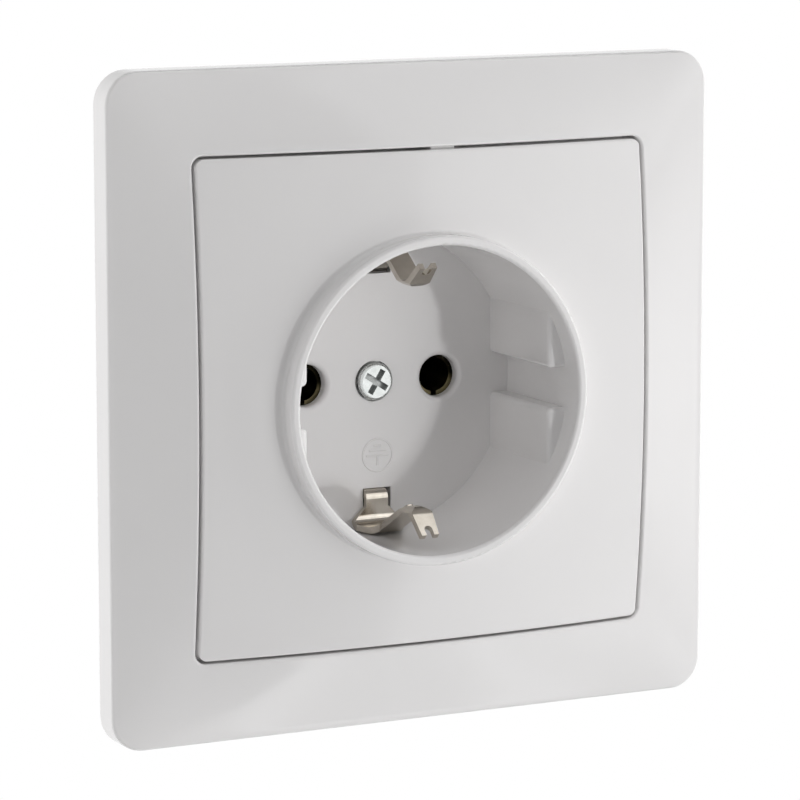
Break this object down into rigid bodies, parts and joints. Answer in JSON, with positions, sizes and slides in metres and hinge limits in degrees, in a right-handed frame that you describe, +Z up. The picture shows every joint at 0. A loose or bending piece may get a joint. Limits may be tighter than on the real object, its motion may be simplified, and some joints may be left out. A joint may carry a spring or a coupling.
{
  "type": "type f wall socket",
  "caption": "Flush wall socket: square cover frame, crowned centre plate with a lipped round well, guide ribs, pin holes and sprung earth clips, on a steel ring and an insulating base.",
  "frame": {"origin": "on the wall's surface, on the axis of the plug well", "axes": "+X to the right and +Z up on the wall seen from the room, +Y into the wall"},
  "size_m": [0.084, 0.0425, 0.084],
  "materials": {
    "white_moulding": "glossy",
    "base_moulding": "satin",
    "cover_moulding": "matt",
    "ring_steel": "zinc plated",
    "screw_steel": "zinc plated",
    "spring_steel": "plain",
    "nickel_strip": "nickel plated",
    "contact_brass": "plain"
  },
  "bodies": {
    "root": {"cover_frame": "white_moulding", "centre_plate": "white_moulding", "socket_base": "base_moulding", "contact_cover": "cover_moulding", "support_ring": "ring_steel", "centre_screw": "screw_steel", "centre_nut": "screw_steel", "left_ring_screw": "screw_steel", "right_ring_screw": "screw_steel", "line_terminal_screw": "screw_steel", "neutral_terminal_screw": "screw_steel", "earth_terminal_screw": "screw_steel", "line_spring": "spring_steel", "neutral_spring": "spring_steel", "earth_strap": "nickel_strip", "earth_link": "nickel_strip", "line_contact": "contact_brass", "neutral_contact": "contact_brass", "line_terminal_cage": "contact_brass", "neutral_terminal_cage": "contact_brass", "earth_terminal_cage": "contact_brass"}
  },
  "joints": []
}
